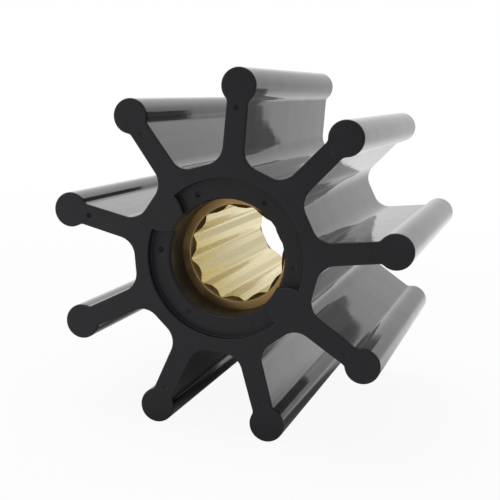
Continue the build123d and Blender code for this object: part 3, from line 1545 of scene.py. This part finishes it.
@dataclass(frozen=True)
class Studio:
    """White surroundings, dim only on the side that the object faces, and a pale floor.

    The floor and the world show white to the camera, but for the object's faint shadow.
    Gloss and metal see nearly the same white: a little brighter to the left and above,
    a little darker to the right, and a dim room in front, which leans back with height.
    Edges are the places or directions between which a level changes smoothly. All other
    light from the world is even.
    """

    floor_height: float
    floor_half: float = 4.0
    floor_albedo: Colour = (0.9, 0.9, 0.9)
    floor_lift: float = 0.93
    lift_edges: Pair = (0.12, 0.5)
    floor_front: float = 0.45
    floor_edges: Pair = (-0.1, 0.12)
    shadow_edges: Pair = (0.03, 0.17)
    floor_levels: Pair = (1.1, 0.84)
    floor_fade: Pair = (0.25, 0.75)
    soft_level: float = 0.36
    room_level: float = 0.2
    room_edges: Pair = (-0.6, 0.5)
    room_lean: float = 0.5
    back_level: float = 0.87
    dark_level: float = 0.66
    dark_edges: Pair = (0.1, 0.45)
    left_gain: float = 0.4
    left_edges: Pair = (-0.45, -0.02)
    sky_gain: float = 0.5
    sky_edges: Pair = (0.26, 0.5)
    lamps: tuple[Softbox, ...] = (
        Softbox("top_softbox", (-0.3, 0.2, 1.1), (0.0, 0.0, 0.0), (1.0, 1.0), 8.0),
        Softbox("low_fill", (-0.21, -0.22, -0.02), (-0.02, 0.0, -0.005), (0.24, 0.04), 0.062),
    )

    def build(self) -> None:
        """Builds the floor, the world and the lamps."""
        self._floor()
        self._world()
        for lamp in self.lamps:
            lamp.build()

    @staticmethod
    def _seen(sheet: NodeSheet) -> dict[Ray, Socket]:
        """Light Path outputs for the rays that show the background."""
        path = sheet.add("ShaderNodeLightPath")
        return {ray: path.outputs[ray.value] for ray in Ray}

    @staticmethod
    def _white_to_camera(sheet: NodeSheet, level: Socket, seen: dict[Ray, Socket]) -> Socket:
        """A strength of 1 for camera rays and the given level for all others."""
        other = sheet.times(level, sheet.minus(1.0, seen[Ray.CAMERA]))
        return sheet.plus(other, seen[Ray.CAMERA])

    def _floor(self) -> None:
        """Adds the floor, one square just under the object."""
        half = self.floor_half
        corners = [(-half, -half), (half, -half), (half, half), (-half, half)]
        mesh = bpy.data.meshes.new("floor")
        mesh.from_pydata([(x, y, self.floor_height) for x, y in corners], [], [(0, 1, 2, 3)])
        mesh.materials.append(self._floor_material())
        floor = bpy.data.objects.new("floor", mesh)
        bpy.context.scene.collection.objects.link(floor)

    def _floor_material(self) -> bpy.types.Material:
        """Builds the floor's material: matt, with white light mixed in.

        The camera sees nearly only white near the object, so that its shadow shows, and
        only white further off. Gloss and metal see the matt floor under the object.

        Returns:
            The material.
        """
        made, sheet, out = new_material("pale floor")
        matt = sheet.feed(sheet.add("ShaderNodeBsdfDiffuse"), Color=self.floor_albedo)[0]
        place = sheet.add("ShaderNodeTexCoord").outputs["Object"]
        length = sheet.add("ShaderNodeVectorMath", operation="LENGTH")
        reach = sheet.feed(length, Vector=place)["Value"]
        away = sheet.ramp(reach, self.shadow_edges)
        front = sheet.ramp(sheet.axes(place)["Y"], self.floor_edges, (self.floor_front, 1.0))
        level = sheet.times(front, sheet.ramp(reach, self.floor_fade, self.floor_levels))
        seen = self._seen(sheet)
        strength = self._white_to_camera(sheet, level, seen)
        white = sheet.feed(sheet.add("ShaderNodeEmission"), Strength=strength)[0]
        lift = sheet.ramp(reach, self.lift_edges, (self.floor_lift, 1.0))
        mirrored = sheet.plus(seen[Ray.GLOSSY], seen[Ray.TRANSMISSION])
        shown = sheet.times(seen[Ray.CAMERA], lift)
        share = sheet.plus(shown, sheet.times(mirrored, away))
        mix = sheet.add("ShaderNodeMixShader")
        for source, target in zip((share, matt, white), mix.inputs):
            sheet.join(source, target)
        sheet.join(mix.outputs[0], out.inputs["Surface"])
        return made

    def _world(self) -> None:
        """Builds the world: soft and even for light, white and a dim room for sight."""
        world = bpy.data.worlds.new("studio")
        world.use_nodes = True
        world.node_tree.nodes.clear()
        sheet = NodeSheet(world.node_tree)
        axes = sheet.axes(sheet.add("ShaderNodeTexCoord").outputs["Generated"])
        side = sheet.ramp(axes["X"], self.dark_edges, (self.back_level, self.dark_level))
        left = sheet.ramp(axes["X"], self.left_edges, (self.left_gain, 0.0))
        sky = sheet.ramp(axes["Z"], self.sky_edges, (0.0, self.sky_gain))
        back = sheet.plus(side, sheet.plus(left, sky))
        leaning = sheet.plus(axes["Y"], sheet.times(axes["Z"], self.room_lean))
        behind = sheet.ramp(leaning, self.room_edges)
        beyond = sheet.times(behind, sheet.minus(back, self.room_level))
        seen = self._seen(sheet)
        level = self._white_to_camera(sheet, sheet.plus(beyond, self.room_level), seen)
        mirrored = sheet.math("MAXIMUM", seen[Ray.GLOSSY], seen[Ray.TRANSMISSION])
        shown = sheet.math("MAXIMUM", seen[Ray.CAMERA], mirrored)
        extra = sheet.times(shown, sheet.minus(level, self.soft_level))
        strength = sheet.plus(extra, self.soft_level)
        background = sheet.add("ShaderNodeBackground")
        white = sheet.feed(background, Color=(1.0, 1.0, 1.0), Strength=strength)[0]
        sheet.feed(sheet.add("ShaderNodeOutputWorld"), Surface=white)
        bpy.context.scene.world = world


@dataclass(frozen=True)
class PhotoCamera:
    """The camera of the photograph, fitted to the nine vane ends in its square frame."""

    place: Triple = (0.07574, -0.29217, 0.04811)
    look: Triple = (-0.26510, 0.94882, -0.17162)
    up: Triple = (-0.13014, 0.14115, 0.98140)
    lens: float = 76.06
    sensor: float = 36.0
    near_clip: float = 0.01

    def build(self) -> None:
        """Adds the camera and makes it the scene's own."""
        data = bpy.data.cameras.new("photo_camera")
        data.lens = self.lens
        data.sensor_width = self.sensor
        data.clip_start = self.near_clip
        camera = bpy.data.objects.new("photo_camera", data)
        look = Vector(self.look).normalized()
        right = look.cross(Vector(self.up)).normalized()
        turn = Matrix((right, right.cross(look), -look)).transposed()
        camera.matrix_world = Matrix.Translation(self.place) @ turn.to_4x4()
        bpy.context.scene.collection.objects.link(camera)
        bpy.context.scene.camera = camera


def main() -> None:
    """Builds the camera, the studio and both pieces."""
    logging.basicConfig(level=logging.INFO, format="%(name)s: %(message)s")
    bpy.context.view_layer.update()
    bpy.context.scene.view_settings.view_transform = "Standard"
    PhotoCamera().build()
    rubber_low, rubber_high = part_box("rubber_impeller")
    bushing_low, bushing_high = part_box("splined_bushing")
    Studio(floor_height=rubber_low.z - FLOOR_GAP).build()
    effects = SharedEffects()
    impeller = RubberImpeller(low=rubber_low, high=rubber_high, bushing_radius=bushing_high.x)
    bushing = SplinedBushing(low=bushing_low, high=bushing_high)
    for piece in (impeller.build(effects), bushing.build(effects)):
        mesh = piece.data
        log.info("%s: %d points, %d faces", piece.name, len(mesh.vertices), len(mesh.polygons))


if __name__ == "__main__":
    main()
